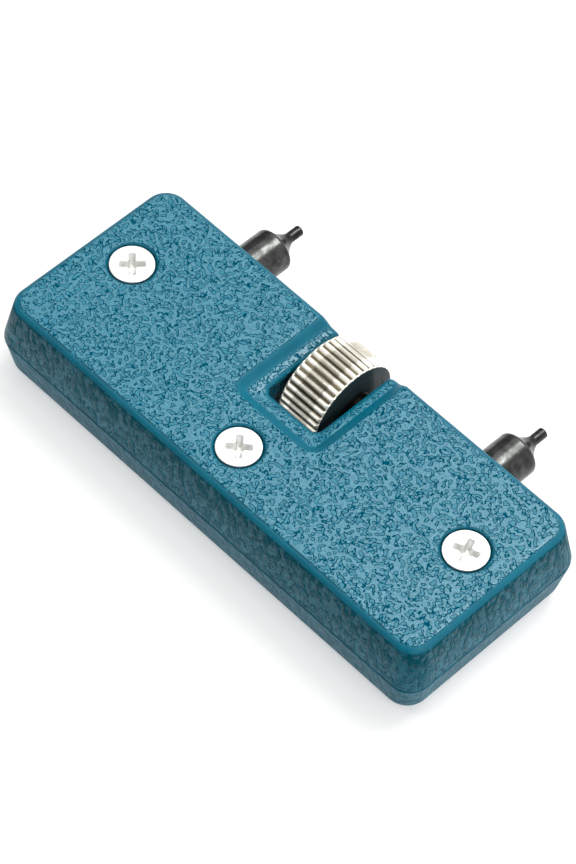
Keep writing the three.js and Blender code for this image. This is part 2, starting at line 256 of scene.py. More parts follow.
def make_camera():
    data = bpy.data.cameras.new("camera")
    data.lens = VIEW_LENS
    data.sensor_width = VIEW_SENSOR
    data.clip_start = 0.01
    data.clip_end = 10
    camera = bpy.data.objects.new("camera", data)
    bpy.context.scene.collection.objects.link(camera)
    back = Vector(
        (
            math.sin(VIEW_AZIMUTH) * math.cos(VIEW_ELEVATION),
            -math.cos(VIEW_AZIMUTH) * math.cos(VIEW_ELEVATION),
            math.sin(VIEW_ELEVATION),
        )
    )
    camera.location = VIEW_TARGET + back * VIEW_DISTANCE
    upright = (-back).to_track_quat("-Z", "Y").to_matrix()
    camera.rotation_euler = (upright @ Matrix.Rotation(VIEW_ROLL, 3, "Z")).to_euler()
    bpy.context.scene.camera = camera


def make_floor():
    """A matt sheet that glows a little, just under the object."""
    half = FLOOR_SIZE / 2
    mesh = bpy.data.meshes.new("floor")
    corners = [(-half, -half, 0), (half, -half, 0), (half, half, 0), (-half, half, 0)]
    mesh.from_pydata(corners, [], [(0, 1, 2, 3)])
    floor = bpy.data.objects.new("floor", mesh)
    floor.location.z = -FLOOR_DROP
    bpy.context.scene.collection.objects.link(floor)
    paint = bpy.data.materials.new("floor")
    paint.use_nodes = True
    shader = paint.node_tree.nodes["Principled BSDF"]
    shader.inputs["Base Color"].default_value = (0.55, 0.55, 0.55, 1)
    shader.inputs["Roughness"].default_value = 0.9
    shader.inputs["Specular IOR Level"].default_value = 0.1
    shader.inputs["Emission Color"].default_value = (1, 1, 1, 1)
    shader.inputs["Emission Strength"].default_value = FLOOR_GLOW
    mesh.materials.append(paint)


def make_sky():
    """A pale studio: brightest low behind the object on its right, and dim in front."""
    world = bpy.data.worlds.new("studio")
    bpy.context.scene.world = world
    world.use_nodes = True
    nodes, links = world.node_tree.nodes, world.node_tree.links
    direction = nodes.new("ShaderNodeTexCoord")
    towards = nodes.new("ShaderNodeVectorMath")
    towards.operation = "DOT_PRODUCT"
    towards.inputs[1].default_value = BRIGHT_WAY
    ramp = nodes.new("ShaderNodeMapRange")
    ramp.interpolation_type = "SMOOTHSTEP"
    ramp.inputs["From Min"].default_value = DIM_UP_TO
    ramp.inputs["From Max"].default_value = BRIGHT_FROM
    ramp.inputs["To Min"].default_value = SKY_DIM
    ramp.inputs["To Max"].default_value = SKY_BRIGHT
    links.new(direction.outputs["Generated"], towards.inputs[0])
    links.new(towards.outputs["Value"], ramp.inputs["Value"])
    links.new(ramp.outputs[0], nodes["Background"].inputs["Strength"])
    nodes["Background"].inputs["Color"].default_value = (1, 1, 1, 1)


def make_lights():
    for name, (where, size, watts) in LIGHTS.items():
        data = bpy.data.lights.new(name, "AREA")
        data.size = size
        data.energy = watts
        lamp = bpy.data.objects.new(name, data)
        lamp.location = where
        lamp.rotation_euler = (-Vector(where)).to_track_quat("-Z", "Y").to_euler()
        bpy.context.scene.collection.objects.link(lamp)
    bpy.context.scene.view_settings.view_transform = "Standard"


# Distance fields --------------------------------------------------------------------------------
# A field is negative inside the material and gives the distance to its surface in millimetres.


def edge_and(a, b, radius):
    """What a and b share, with the edge between them rounded over."""
    rounded = np.hypot(np.maximum(a + radius, 0), np.maximum(b + radius, 0))
    return np.minimum(np.maximum(a, b), -radius) + rounded


def edge_or(a, b, radius):
    """a and b together, with a fillet between them."""
    filleted = np.hypot(np.maximum(radius - a, 0), np.maximum(radius - b, 0))
    return np.maximum(np.minimum(a, b), radius) - filleted


def carve(a, b, radius):
    """a with b taken away, and the edge it leaves rounded over."""
    return edge_and(a, -b, radius)


def rounded_rectangle(x, y, half_x, half_y, radius):
    return edge_and(abs(x) - half_x, abs(y) - half_y, radius)


def between(v, low, high):
    return np.maximum(low - v, v - high)


def smooth_rise(part, height):
    """Height gained as part goes from 0 to 1, level at both ends."""
    return height * part**2 * (3 - 2 * part)


def inside_all(*fields):
    whole = fields[0]
    for field in fields[1:]:
        whole = np.maximum(whole, field)
    return whole


def any_of(*fields):
    whole = fields[0]
    for field in fields[1:]:
        whole = np.minimum(whole, field)
    return whole


# Surfaces from fields ---------------------------------------------------------------------------


def mixed_cells(inside):
    """True for each cell of the grid that the surface passes through."""
    count = np.zeros([n - 1 for n in inside.shape], np.int8)
    for i, j, k in np.ndindex(2, 2, 2):
        count += inside[i : i + count.shape[0], j : j + count.shape[1], k : k + count.shape[2]]
    return (count > 0) & (count < 8)


def settle(field, points, steps=4, reach=0.02, most=0.15, least_slope=0.25):
    """Moves points onto the field's surface along its gradient."""
    for _ in range(steps):
        here = field(*points.T)
        slope = np.empty_like(points)
        for axis in range(3):
            step = np.zeros(3)
            step[axis] = reach
            ahead, behind = field(*(points + step).T), field(*(points - step).T)
            slope[:, axis] = (ahead - behind) / (2 * reach)
        steep = np.maximum((slope**2).sum(1), least_slope)
        move = np.clip(here / steep, -most, most)
        points = points - move[:, None] * slope
    return points


def relax(points, quads, share=0.5):
    """Moves each point part of the way to the mean of its neighbours."""
    total = np.zeros_like(points)
    count = np.zeros(len(points))
    for a, b in ((0, 1), (1, 2), (2, 3), (3, 0)):
        for one, other in ((quads[:, a], quads[:, b]), (quads[:, b], quads[:, a])):
            for axis in range(3):
                total[:, axis] += np.bincount(one, points[other, axis], len(points))
            count += np.bincount(one, minlength=len(points))
    mean = total / np.maximum(count, 1)[:, None]
    return points + share * (mean - points)


def crossing_points(value, cells):
    """For each cell, in cells, the mean of the places where the surface crosses its edges."""
    total = np.zeros((len(cells), 3))
    crossings = np.zeros(len(cells))
    for axis in range(3):
        for offset in np.ndindex(2, 2):
            start = np.insert(np.array(offset), axis, 0)
            end = start.copy()
            end[axis] = 1
            a = value[tuple((cells + start).T)]
            b = value[tuple((cells + end).T)]
            crossed = (a < 0) != (b < 0)
            part = np.where(crossed, a / np.where(crossed, a - b, 1), 0)
            crossing = start[None, :] + part[:, None] * (end - start)[None, :]
            total += crossing * crossed[:, None]
            crossings += crossed
    return cells + total / crossings[:, None]


def crossing_quads(inside, number):
    """A quad round each grid edge that the surface crosses, facing out of the material."""
    quads = []
    for axis in range(3):
        one, two = [a for a in range(3) if a != axis]
        ahead = np.moveaxis(inside, axis, 0)
        changed = ahead[:-1] != ahead[1:]
        where = np.argwhere(changed[:, 1:-1, 1:-1]) + [0, 1, 1]
        leaving = ahead[:-1][tuple(where.T)]
        corners = []
        for da, db in ((-1, -1), (0, -1), (0, 0), (-1, 0)):
            at = np.empty_like(where)
            at[:, axis] = where[:, 0]
            at[:, one] = where[:, 1] + da
            at[:, two] = where[:, 2] + db
            corners.append(number[tuple(at.T)])
        quad = np.stack(corners, 1)
        turned = leaving if axis != 1 else ~leaving
        quads.append(np.where(turned[:, None], quad, quad[:, ::-1]))
    return np.concatenate(quads)


def surface(field, low, high, cell):
    """Points and quads of the field's surface: one point in each cell that it passes through."""
    margin = 1.5 * cell
    axes = [np.arange(a - margin, b + margin + cell, cell) for a, b in zip(low, high)]
    value = field(*np.meshgrid(*axes, indexing="ij", sparse=True))
    inside = value < 0
    mixed = mixed_cells(inside)
    number = np.full(mixed.shape, -1)
    number[mixed] = np.arange(mixed.sum())
    grid_start = np.array([a[0] for a in axes])
    points = settle(field, grid_start + crossing_points(value, np.argwhere(mixed)) * cell)
    quads = crossing_quads(inside, number)
    for _ in range(2):
        points = settle(field, relax(points, quads))
    return points, quads


# Meshes -----------------------------------------------------------------------------------------


def mesh_object(name, points_mm, faces, material):
    mesh = bpy.data.meshes.new(name)
    mesh.from_pydata((np.asarray(points_mm) * MM).tolist(), [], np.asarray(faces).tolist())
    mesh.materials.append(material)
    mesh.shade_smooth()
    made = bpy.data.objects.new(name, mesh)
    bpy.context.scene.collection.objects.link(made)
    return made


def apply_modifiers(piece):
    bpy.context.view_layer.update()
    graph = bpy.context.evaluated_depsgraph_get()
    flat = bpy.data.meshes.new_from_object(piece.evaluated_get(graph))
    piece.modifiers.clear()
    old = piece.data
    piece.data = flat
    bpy.data.meshes.remove(old)


def thin_out(piece, ratio):
    """Takes points away where the surface is flat, and keeps the flat faces' shading flat."""
    fewer = piece.modifiers.new("fewer", "DECIMATE")
    fewer.ratio = ratio
    weighted = piece.modifiers.new("weighted", "WEIGHTED_NORMAL")
    weighted.keep_sharp = True
    apply_modifiers(piece)


def sharpen(piece, angle):
    """Marks the edges that bend by more than the angle, so that they shade as edges."""
    mesh = bmesh.new()
    mesh.from_mesh(piece.data)
    for edge in mesh.edges:
        edge.smooth = len(edge.link_faces) == 2 and edge.calc_face_angle() < angle
    mesh.to_mesh(piece.data)
    mesh.free()


def place(piece, body, slot, *nodes):
    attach(piece, body)
    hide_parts(*nodes)


# Shells -----------------------------------------------------------------------------------------


def screw_place(node):
    low, high = box_mm(node)
    return (low[0] + high[0]) / 2, (low[1] + high[1]) / 2


HEAD_RADIUS = (box_mm("middle_screw")[1] - box_mm("middle_screw")[0])[0] / 2


def sides(x, y, z, face_z):
    """The outer side walls, which lean in from the parting plane to the face at face_z."""
    lean = DRAFT * (z - PARTING_Z) / (face_z - PARTING_Z)
    return rounded_rectangle(x, y, LENGTH / 2 - lean, WIDTH / 2 - lean, CORNER_RADIUS)


def lining(x, y):
    """The bosses and ribs that both shells have inside, seen in plan."""
    bosses = [np.hypot(x - sx, y - sy) - BOSS_RADIUS for sx, sy in map(screw_place, SHELL_SCREWS)]
    side_x, side_y = screw_place("right_screw")
    return any_of(
        *bosses,
        inside_all(between(abs(x), WEB_END_X - OVERLAP, side_x - 2), between(y, BAY_Y - RIB, BAY_Y)),
        inside_all(abs(x) - WEB_END_X, between(y, WINDOW_NEAR_Y - RIB, WINDOW_NEAR_Y)),
        inside_all(between(abs(x), WINDOW_HALF_X, WEB_END_X), between(y, WINDOW_NEAR_Y - RIB, BAY_Y)),
        inside_all(abs(x) - RIB / 2, between(y, -INNER_Y - OVERLAP, screw_place("middle_screw")[1])),
        inside_all(between(abs(x), side_x, INNER_X + OVERLAP), abs(y - side_y) - RIB / 2),
    )


def webs(x, y, near_y, far_y):
    """The walls across the shells that carry the lead screw, seen in plan."""
    beside_wheel = between(abs(x), WINDOW_HALF_X, WEB_END_X)
    at_ends = between(abs(x), END_WEB_X, END_WEB_X + BUSH_LENGTH)
    return inside_all(any_of(beside_wheel, at_ends), between(y, near_y, far_y))


def screw_space(x, y, z):
    """The bore for the lead screw, wider at both ends for its bushes."""
    off_axis = np.hypot(y - AXIS_Y, z - AXIS_Z)
    middle = inside_all(off_axis - SCREW_SEAT, abs(x) - END_WEB_X)
    ends = inside_all(
        off_axis - BUSH_RADIUS - SLIP_FIT,
        between(abs(x), END_WEB_X - OVERLAP, END_WEB_X + BUSH_LENGTH + 1),
    )
    return any_of(middle, ends)


def window(x, y, near_y):
    return edge_and(abs(x) - WINDOW_HALF_X, near_y - y, WINDOW_CORNER)


def slots(x, y, z_part):
    """The slots of the long wall that the jaws run in."""
    along = between(abs(x), SLOT_INNER_X, SLOT_OUTER_X)
    return inside_all(along, INNER_Y - SLOT_OVERCUT - y, z_part)


def countersinks(x, y, z):
    """The seats of the shell screws' heads, and the holes for their shanks."""
    mouth = HEAD_RADIUS + HEAD_RING
    holes = []
    for node in SHELL_SCREWS:
        sx, sy = screw_place(node)
        off = np.hypot(x - sx, y - sy)
        cone = (off - mouth + THICKNESS - HEAD_RIM - z) / math.sqrt(2)
        holes.append(any_of(inside_all(off - mouth, cone), off - SHANK_HOLE))
    return any_of(*holes)


def front_shell(x, y, z):
    into_dish = -edge_and(abs(x) - RECESS_HALF_X, RECESS_NEAR_Y - y, RECESS_CORNER)
    part = np.clip(into_dish / RECESS_RUN, 0, 1)
    dish = smooth_rise(part, RECESS_DEPTH) + DISH_SLOPE * np.maximum(into_dish - RECESS_RUN, 0)
    outside = edge_and(sides(x, y, z, THICKNESS), z - THICKNESS + dish, FRONT_FILLET)
    bottom = PARTING_Z + PARTING_GAP / 2 - z
    cavity = inside_all(
        rounded_rectangle(x, y, INNER_X, INNER_Y, CORNER_RADIUS - WALL), z - CEILING_Z
    )
    inner = inside_all(lining(x, y), bottom, z - CEILING_Z - OVERLAP)
    web = inside_all(
        webs(x, y, BAY_Y - OVERLAP, INNER_Y + OVERLAP),
        between(z, AXIS_Z + PARTING_GAP / 2, CEILING_Z + OVERLAP),
    )
    shell = edge_or(carve(outside, cavity, WALL_ROUND), any_of(inner, web), RIB_FILLET)
    shell = edge_and(shell, bottom, SEAM_ROUND)
    shell = carve(shell, window(x, y, WINDOW_NEAR_Y), WINDOW_ROUND)
    shell = carve(shell, screw_space(x, y, z), SEAT_ROUND)
    shell = carve(shell, slots(x, y, z - CEILING_Z), SLOT_ROUND)
    return carve(shell, countersinks(x, y, z), SINK_ROUND)


def back_shell(x, y, z):
    outside = edge_and(sides(x, y, z, 0), -z, BACK_FILLET)
    top = z - PARTING_Z + PARTING_GAP / 2
    cavity = inside_all(
        rounded_rectangle(x, y, INNER_X, INNER_Y, CORNER_RADIUS - WALL), FLOOR_Z - z
    )
    rail = inside_all(
        between(abs(x), WEB_END_X - OVERLAP, END_WEB_X + OVERLAP),
        between(y, BAY_Y - OVERLAP, BAY_Y + RAIL_WIDTH),
        z - RAIL_Z,
    )
    low_webs = inside_all(webs(x, y, BAY_Y - OVERLAP, INNER_Y + OVERLAP), top)
    inner = inside_all(any_of(lining(x, y), rail, low_webs), top, FLOOR_Z - OVERLAP - z)
    shell = edge_or(carve(outside, cavity, WALL_ROUND), inner, RIB_FILLET)
    shell = edge_and(shell, top, SEAM_ROUND)
    high_webs = inside_all(
        webs(x, y, BAY_Y + HIGH_WEB_SETBACK, INNER_Y - OVERLAP),
        between(z, FLOOR_Z, AXIS_Z - PARTING_GAP / 2),
    )
    shell = any_of(shell, high_webs)
    shell = carve(shell, window(x, y, BACK_WINDOW_NEAR_Y), WINDOW_ROUND)
    shell = carve(shell, screw_space(x, y, z), SEAT_ROUND)
    shell = carve(shell, slots(x, y, RAIL_Z - z), SLOT_ROUND)
    pockets = [
        inside_all(np.hypot(x - sx, y - sy) - INSERT_HOLE, INSERT_FLOOR - z)
        for sx, sy in map(screw_place, SHELL_SCREWS)
    ]
    return carve(shell, any_of(*pockets), SEAT_ROUND)


def make_shells(plastic):
    for name, field in (("front_shell", front_shell), ("back_shell", back_shell)):
        points, quads = surface(field, *box_mm(name), SHELL_CELL)
        shell = mesh_object(name + "_moulding", points, quads, plastic)
        thin_out(shell, SHELL_POINTS_KEPT)
        place(shell, "body", "shell", name)


# Metal pieces -----------------------------------------------------------------------------------


def metal_piece(name, field, cell, material, body, slot):
    """A closed piece with the field's surface, in place of the CAD node of that name."""
    points, quads = surface(field, *box_mm(name), cell)
    made = mesh_object(name + "_piece", points, quads, material)
    place(made, body, slot, name)


def thread(off_axis, along, angle, radius, pitch):
    """A screw thread with flat crests and roots: along runs down the axis, and angle round it."""
    depth = THREAD_DEPTH * pitch
    turn = np.mod(along / pitch - angle / (2 * math.pi), 1)
    flank = np.clip(abs(2 * turn - 1) * FLANK_RISE - CREST_FLAT, 0, 1)
    return (off_axis - radius + depth * flank) * FLANK_SLOPE


def shell_screw(x, y, z, node):
    sx, sy = screw_place(node)
    top = box_mm(node)[1][2]
    bottom = box_mm(node)[0][2]
    x, y = x - sx, y - sy
    off, angle = np.hypot(x, y), np.arctan2(y, x)
    cone = (off - HEAD_RADIUS + top - HEAD_RIM - z) / math.sqrt(2)
    head = edge_and(edge_and(off - HEAD_RADIUS, z - top, HEAD_ROUND), cone, CONE_ROUND)
    end = (off - THREAD_RADIUS + END_CHAMFER + bottom - z) / math.sqrt(2)
    shank = inside_all(thread(off, z, angle, THREAD_RADIUS, THREAD_PITCH), end, z - top + SHANK_TOP)
    screw = edge_and(any_of(head, shank), bottom - z, END_ROUND)
    turn = math.radians(CROSS_TURN[node])
    u = x * math.cos(turn) + y * math.sin(turn)
    v = y * math.cos(turn) - x * math.sin(turn)
    deep = top - z
    arm = CROSS_WIDTH / 2 - WIDTH_TAPER * deep
    reach = CROSS_SPAN / 2 - SPAN_TAPER * deep
    one = edge_and(abs(u) - reach, abs(v) - arm, ARM_ROUND)
    other = edge_and(abs(v) - reach, abs(u) - arm, ARM_ROUND)
    middle = off - CROSS_MIDDLE + MIDDLE_TAPER * deep
    cross = edge_or(edge_or(one, other, ARM_FILLET), middle, MIDDLE_FILLET)
    cross = edge_and(cross, deep - CROSS_DEPTH, CROSS_FLOOR_ROUND)
    return carve(screw, cross, CROSS_EDGE_ROUND)


def make_shell_screws(zinc):
    for node in SHELL_SCREWS:
        field = lambda x, y, z, node=node: shell_screw(x, y, z, node)
        metal_piece(node, field, SCREW_CELL, zinc, "body", "zinc_steel")


def ridge_radius(part):
    """Radius of the wheel's rim, part being the way from the middle of a crest to the next, 0 to 1."""
    from_crest = np.minimum(part, 1 - part)
    fall = np.clip((from_crest - CREST_SHARE) / FLANK_SHARE, 0, 1)
    return WHEEL_RADIUS - smooth_rise(fall, RIDGE_DEPTH)


def wheel_profile():
    """Points of (place along X, radius) round the wheel's section, from bore to bore."""
    half = WHEEL_WIDTH / 2
    hub = (WHEEL_HIGH[0] - WHEEL_LOW[0]) / 2
    edge = WHEEL_RADIUS - WHEEL_CHAMFER
    right = [
        (hub - HUB_BREAK, HUB_BORE),
        (hub, HUB_BORE + HUB_BREAK),
        (hub, HUB_RADIUS - HUB_BREAK),
        (hub - HUB_BREAK, HUB_RADIUS),
        (half + FACE_BREAK, HUB_RADIUS),
        (half, HUB_RADIUS + FACE_BREAK),
        (half, FACE_GROOVE[0]),
        (half - FACE_GROOVE_DEPTH, FACE_GROOVE[0] + FACE_GROOVE_SIDE),
        (half - FACE_GROOVE_DEPTH, FACE_GROOVE[1] - FACE_GROOVE_SIDE),
        (half, FACE_GROOVE[1]),
        (half, edge - 0.08),
        (half - FACE_BREAK, edge - FACE_BREAK),
    ]
    for step in range(RIM_STEPS + 1):
        down = RIM_BREAK + (WHEEL_CHAMFER - RIM_BREAK) * step / RIM_STEPS
        right.append((half - down, edge + down))
    right.append((half - WHEEL_CHAMFER - 0.06, WHEEL_RADIUS))
    left = [(-x, radius) for x, radius in reversed(right)]
    profile = left + [(x, WHEEL_RADIUS) for x in RIM_PLACES] + right
    return [(WHEEL_X + x, radius) for x, radius in profile]


def make_wheel(nickel):
    # The places of the rim's points on each ridge: from its crest down to the valley, and up again.
    to_valley = [0] + [0.05 + 0.04 * step for step in range(11)]
    parts = np.array(to_valley + [0.5] + [1 - part for part in reversed(to_valley[1:])])
    angles = ((np.arange(RIDGES)[:, None] + parts[None, :]) * 2 * math.pi / RIDGES).ravel()
    rim = np.tile(ridge_radius(parts), RIDGES)
    rings = []
    for x, radius in wheel_profile():
        reach = np.minimum(radius, rim)
        y, z = AXIS_Y + reach * np.cos(angles), AXIS_Z + reach * np.sin(angles)
        rings.append(np.stack([np.full(len(angles), x), y, z], 1))
    count = len(angles)
    here = np.arange(count)
    ahead = (here + 1) % count
    quads = []
    for ring in range(len(rings)):
        one, other = ring * count, (ring + 1) % len(rings) * count
        quads.append(np.stack([one + here, one + ahead, other + ahead, other + here], 1))
    wheel = mesh_object("ridged_wheel", np.concatenate(rings), np.concatenate(quads), nickel)
    sharpen(wheel, WHEEL_CREASE)
    place(wheel, "wheel", "nickel", "thumb_wheel")


def lead_screw(x, y, z):
    """Opposed threads either side of the wheel's seat, and a plain journal at each end."""
    y, z = y - AXIS_Y, z - AXIS_Z
    off, angle = np.hypot(y, z), np.arctan2(z, y)
    end = box_mm("lead_screw")[1][0]
    along = thread(off, abs(x), np.sign(x) * angle, SCREW_RADIUS, LEAD_PITCH)
    threads = inside_all(along, abs(x) - END_WEB_X + THREAD_END_GAP)
    seat = edge_and(off - SEAT_RADIUS, abs(x - WHEEL_X) - WHEEL_WIDTH / 2, SEAT_EDGE_ROUND)
    journal = edge_and(off - JOURNAL_RADIUS, abs(x) - end, JOURNAL_ROUND)
    return any_of(threads, seat, journal)


def make_lead_screw(steel):
    metal_piece("lead_screw", lead_screw, LEAD_CELL, steel, "wheel", "steel")


def jaw(x, y, z, node):
    """A round stud, cross-drilled for the lead screw, with a socket for its tip."""
    low, high = box_mm(node)
    middle = (low[0] + high[0]) / 2
    off = np.hypot(x - middle, z - AXIS_Z)
    tail = edge_and(off - JAW_RADIUS, low[1] - y, TAIL_CHAMFER)
    stud = edge_and(tail, y - high[1], SHOULDER_ROUNDING)
    cross_hole = np.hypot(y - AXIS_Y, z - AXIS_Z) - SCREW_SEAT
    socket_floor = high[1] - TIP_SHANK_LENGTH - SOCKET_GAP
    socket = inside_all(off - TIP_SHANK_RADIUS - SLIP_FIT, socket_floor - y)
    return carve(carve(stud, cross_hole, CROSS_HOLE_ROUND), socket, SOCKET_ROUND)


def tip(x, y, z, node):
    """A hardened tip: a shank, a foot, a hollow cone and a thin round nose."""
    low, high = box_mm(node)
    foot = low[1] + TIP_SHANK_LENGTH + SLIP_FIT
    off = np.hypot(x - (low[0] + high[0]) / 2, z - AXIS_Z)
    part = np.clip((y - foot) / TIP_NECK_LENGTH, 0, 1)
    radius = TIP_RADIUS + (TIP_FOOT_RADIUS - TIP_RADIUS) * (1 - part) ** CONE_HOLLOW
    nose = edge_and(edge_and(off - radius, y - high[1], NOSE_ROUND), foot - y, FOOT_ROUND)
    shank = edge_and(off - TIP_SHANK_RADIUS, low[1] - y, TIP_SHANK_ROUND)
    return any_of(nose, inside_all(shank, y - foot - SHANK_OVERLAP))


def make_jaws(worn_steel, tip_steel):
    for side in SIDES:
        for kind, shape, cell, steel in (
            ("jaw", jaw, JAW_CELL, worn_steel),
            ("tip", tip, TIP_CELL, tip_steel),
        ):
            node = f"{side}_{kind}"
            field = lambda x, y, z, node=node, shape=shape: shape(x, y, z, node)
            metal_piece(node, field, cell, steel, f"{side}_jaw", "black_steel")


def ring(off, along, outer, bore, half, rounding):
    """A bored disc, off being the distance from its axis and along the place on it."""
    return edge_and(edge_and(off - outer, bore - off, 0.01), abs(along) - half, rounding)


def make_rings(steel, brass):
    """Thrust washers beside the wheel, and bushes at the ends of the lead screw."""
    for side in SIDES:
        for kind, bore, material, slot in (
            ("thrust_washer", SCREW_SEAT, steel, "steel"),
            ("end_bush", JOURNAL_RADIUS + BUSH_CLEARANCE, brass, "brass"),
        ):
            node = f"{side}_{kind}"
            low, high = box_mm(node)
            middle, half = (low[0] + high[0]) / 2, (high[0] - low[0]) / 2
            outer = (high[1] - low[1]) / 2

            def field(x, y, z, middle=middle, half=half, outer=outer, bore=bore):
                off = np.hypot(y - AXIS_Y, z - AXIS_Z)
                return ring(off, x - middle, outer, bore, half, RING_ROUND)

            metal_piece(node, field, RING_CELL, material, "body", slot)


def make_inserts(brass):
    """Knurled brass inserts that the shell screws turn into."""
    for node in ("left_insert", "middle_insert", "right_insert"):
        low, high = box_mm(node)
        middle, half = (low + high) / 2, (high - low) / 2

        def field(x, y, z, middle=middle, half=half):
            x, y, z = x - middle[0], y - middle[1], z - middle[2]
            knurl = KNURL_DEPTH * (1 - np.cos(KNURLS * np.arctan2(y, x)))
            groove = GROOVE_DEPTH * np.exp(-((z / GROOVE_WIDTH) ** 2))
            outer = half[0] - knurl - groove
            return ring(np.hypot(x, y), z, outer, THREAD_RADIUS + SLIP_FIT, half[2], INSERT_ROUND)

        metal_piece(node, field, INSERT_CELL, brass, "body", "brass")


# Materials --------------------------------------------------------------------------------------


class Paint:
    """One material: its shader, and the nodes that feed it in object space."""

    def __init__(self, name, **constants):
        self.material = bpy.data.materials.new(name)
        self.material.use_nodes = True
        self.nodes = self.material.node_tree.nodes
        self.links = self.material.node_tree.links
        self.shader = self.nodes["Principled BSDF"]
        for socket, value in constants.items():
            self.shader.inputs[socket.replace("_", " ")].default_value = value
        self.place = self.nodes.new("ShaderNodeTexCoord").outputs["Object"]

    def feed(self, socket, value):
        if isinstance(value, bpy.types.NodeSocket):
            self.links.new(value, socket)
        else:
            socket.default_value = value

    def add(self, kind, inputs, **settings):
        node = self.nodes.new(kind)
        for name, value in settings.items():
            setattr(node, name, value)
        for key, value in inputs.items():
            self.feed(node.inputs[key], value)
        return node

    def stretched(self, scale):
        """Object space scaled along each axis, so that what follows is drawn out along some."""
        return self.add("ShaderNodeMapping", {"Vector": self.place, "Scale": scale}).outputs[0]

    def noise(self, scale, detail=2.0, where=None, distortion=0.0):
        """Noise whose spots are about 1 / scale metres across."""
        inputs = {
            "Vector": where or self.place,
            "Scale": scale,
            "Detail": detail,
            "Distortion": distortion,
        }
        return self.add("ShaderNodeTexNoise", inputs).outputs[0]

    def cells(self, scale, smoothness):
        """Distance, in cells 1 / scale metres across, to the nearest of many scattered points."""
        inputs = {"Vector": self.place, "Scale": scale, "Smoothness": smoothness}
        return self.add("ShaderNodeTexVoronoi", inputs, feature="SMOOTH_F1").outputs["Distance"]

    def math(self, operation, a, b=0.0):
        return self.add("ShaderNodeMath", {0: a, 1: b}, operation=operation).outputs[0]

    def times(self, a, b):
        return self.math("MULTIPLY", a, b)

    def all_but(self, share):
        return self.math("SUBTRACT", 1.0, share)

    def part(self, axis):
        return self.add("ShaderNodeSeparateXYZ", {0: self.place}).outputs[axis]

    def ramp(self, value, low, high, to_low=0.0, to_high=1.0):
        """A smooth step from to_low to to_high as the value goes from low to high."""
        inputs = {
            "Value": value,
            "From Min": low,
            "From Max": high,
            "To Min": to_low,
            "To Max": to_high,
        }
        node = self.add("ShaderNodeMapRange", inputs, interpolation_type="SMOOTHSTEP")
        return node.outputs[0]

    def slide(self, share, a, b):
        """A number that goes smoothly from a to b as the share goes from 0 to 1."""
        return self.ramp(share, 0.0, 1.0, a, b)

    def mix(self, share, a, b):
        """The colour a where the share is 0, and b where it is 1: the node's sockets 6 and 7."""
        colours = [c if isinstance(c, bpy.types.NodeSocket) else (*c, 1) for c in (a, b)]
        inputs = {0: share, 6: colours[0], 7: colours[1]}
        return self.add("ShaderNodeMix", inputs, data_type="RGBA").outputs[2]

    def facing(self, axis):
        """How squarely the surface faces along an axis, either way: 0 to 1."""
        normal = self.nodes.new("ShaderNodeTexCoord").outputs["Normal"]
        along = self.add("ShaderNodeSeparateXYZ", {0: normal}).outputs[axis]
        return self.math("ABSOLUTE", along)

    def off_axis(self, y_mm, z_mm):
        """Distance in metres from the line along X through that place."""
        y = self.math("SUBTRACT", self.part(1), y_mm * MM)
        z = self.math("SUBTRACT", self.part(2), z_mm * MM)
        return self.math("SQRT", self.math("ADD", self.math("POWER", y, 2), self.math("POWER", z, 2)))

    def bump(self, height, depth_mm, strength=1.0, under=None):
        inputs = {"Height": height, "Distance": depth_mm * MM, "Strength": strength}
        if under:
            inputs["Normal"] = under
        return self.add("ShaderNodeBump", inputs).outputs[0]

    def finish(self, **sockets):
        for socket, value in sockets.items():
            self.feed(self.shader.inputs[socket.replace("_", " ")], value)
        return self.material


